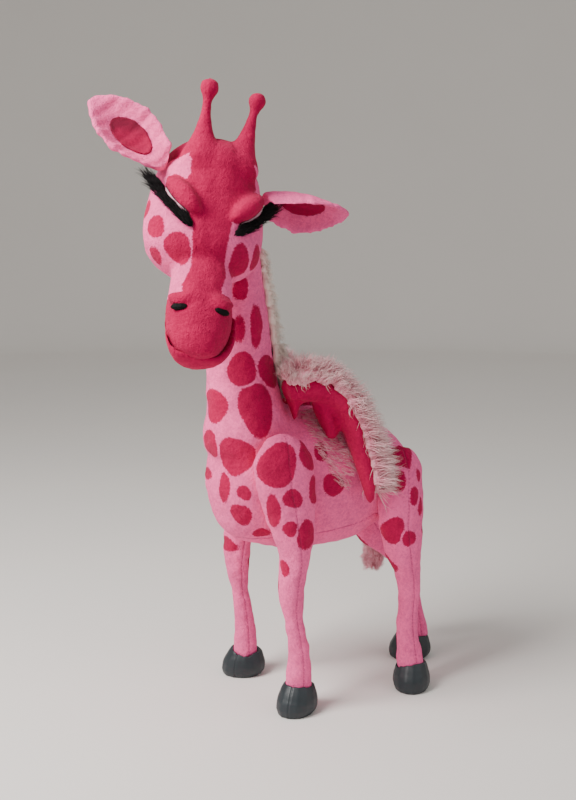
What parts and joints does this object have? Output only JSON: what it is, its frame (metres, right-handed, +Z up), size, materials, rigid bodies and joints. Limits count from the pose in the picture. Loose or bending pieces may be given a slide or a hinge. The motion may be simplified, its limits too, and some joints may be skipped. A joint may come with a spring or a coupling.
{
  "type": "plush giraffe",
  "caption": "Standing plush giraffe with small furred wings, its head turned and hung down, on wired legs with padded hooves.",
  "frame": {"origin": "on the floor, under the middle of the toy's bounding box", "axes": "+Z up, the giraffe faces -Y, its left side is +X"},
  "size_m": [0.1454, 0.3006, 0.4771],
  "materials": {
    "pink_plush": "short knitted pile with knitted-in crimson spots",
    "crimson_plush": "short velour pile",
    "long_fur": "long soft pile, pinkish cream",
    "mane_fur": "long soft pile, cream",
    "hoof_cover": "satin leatherette",
    "dark_trim": "stiff black fibre",
    "wire": "bare bendable wire"
  },
  "bodies": {
    "torso": {"torso": "pink_plush", "spine_wire": "wire", "shoulder_wire": "wire", "hip_wire": "wire"},
    "neck": {"neck": "pink_plush", "neck_wire": "wire", "mane": "mane_fur"},
    "head": {"head": "pink_plush", "muzzle": "crimson_plush", "lower_lip": "crimson_plush", "horn_left": "crimson_plush", "eyelid_left": "crimson_plush", "lower_lid_left": "pink_plush", "lashes_left": "dark_trim", "nostril_flap_left": "crimson_plush", "nostril_left": "dark_trim", "horn_right": "crimson_plush", "eyelid_right": "crimson_plush", "lower_lid_right": "pink_plush", "lashes_right": "dark_trim", "nostril_flap_right": "crimson_plush", "nostril_right": "dark_trim"},
    "ear_left": {"ear_left": "pink_plush", "ear_lining_left": "crimson_plush"},
    "wing_left": {"wing_left": "crimson_plush", "wing_fur_left": "long_fur"},
    "ear_right": {"ear_right": "pink_plush", "ear_lining_right": "crimson_plush"},
    "wing_right": {"wing_right": "crimson_plush", "wing_fur_right": "long_fur"},
    "front_leg_left": {"front_leg_left": "pink_plush", "front_hoof_left": "hoof_cover", "front_leg_left_wire": "wire"},
    "front_leg_right": {"front_leg_right": "pink_plush", "front_hoof_right": "hoof_cover", "front_leg_right_wire": "wire"},
    "rear_leg_left": {"rear_leg_left": "pink_plush", "rear_hoof_left": "hoof_cover", "rear_leg_left_wire": "wire"},
    "rear_leg_right": {"rear_leg_right": "pink_plush", "rear_hoof_right": "hoof_cover", "rear_leg_right_wire": "wire"},
    "tail": {"tail": "pink_plush", "tail_tuft": "long_fur"}
  },
  "joints": [
    {"name": "neck_lean", "type": "hinge", "parent": "torso", "child": "neck", "pos_m": [-0.00347, -0.03426, 0.234], "axis": [1, 0, 0], "range_deg": [-6, 14]},
    {"name": "head_turn", "type": "hinge", "parent": "neck", "child": "head", "pos_m": [-0.0027, -0.05027, 0.37], "axis": [0, 0, 1], "range_deg": [-75, 8]},
    {"name": "ear_left_flex", "type": "hinge", "parent": "head", "child": "ear_left", "pos_m": [0.02334, -0.03336, 0.39869], "axis": [0.8728, 0.0019, 0.4881], "range_deg": [-12, 35]},
    {"name": "ear_right_flex", "type": "hinge", "parent": "head", "child": "ear_right", "pos_m": [0.01478, -0.10312, 0.41427], "axis": [-0.8728, -0.0019, -0.4881], "range_deg": [-40, 6]},
    {"name": "wing_left_spread", "type": "hinge", "parent": "torso", "child": "wing_left", "pos_m": [0.0183, -0.00927, 0.226], "axis": [0, 0, -1], "range_deg": [0, 50]},
    {"name": "wing_right_spread", "type": "hinge", "parent": "torso", "child": "wing_right", "pos_m": [-0.0257, -0.00927, 0.226], "axis": [0, 0, 1], "range_deg": [0, 50]},
    {"name": "front_leg_left_swing", "type": "hinge", "parent": "torso", "child": "front_leg_left", "pos_m": [0.0363, -0.02027, 0.172], "axis": [1, 0, 0], "range_deg": [-12, 12]},
    {"name": "front_leg_right_swing", "type": "hinge", "parent": "torso", "child": "front_leg_right", "pos_m": [-0.0437, -0.02027, 0.172], "axis": [1, 0, 0], "range_deg": [-12, 12]},
    {"name": "rear_leg_left_swing", "type": "hinge", "parent": "torso", "child": "rear_leg_left", "pos_m": [0.0328, 0.08273, 0.16], "axis": [1, 0, 0], "range_deg": [-12, 12]},
    {"name": "rear_leg_right_swing", "type": "hinge", "parent": "torso", "child": "rear_leg_right", "pos_m": [-0.0402, 0.08273, 0.16], "axis": [1, 0, 0], "range_deg": [-12, 12]},
    {"name": "tail_swing", "type": "hinge", "parent": "torso", "child": "tail", "pos_m": [-0.0037, 0.11473, 0.182], "axis": [0, 1, 0], "range_deg": [-5, 25]}
  ]
}
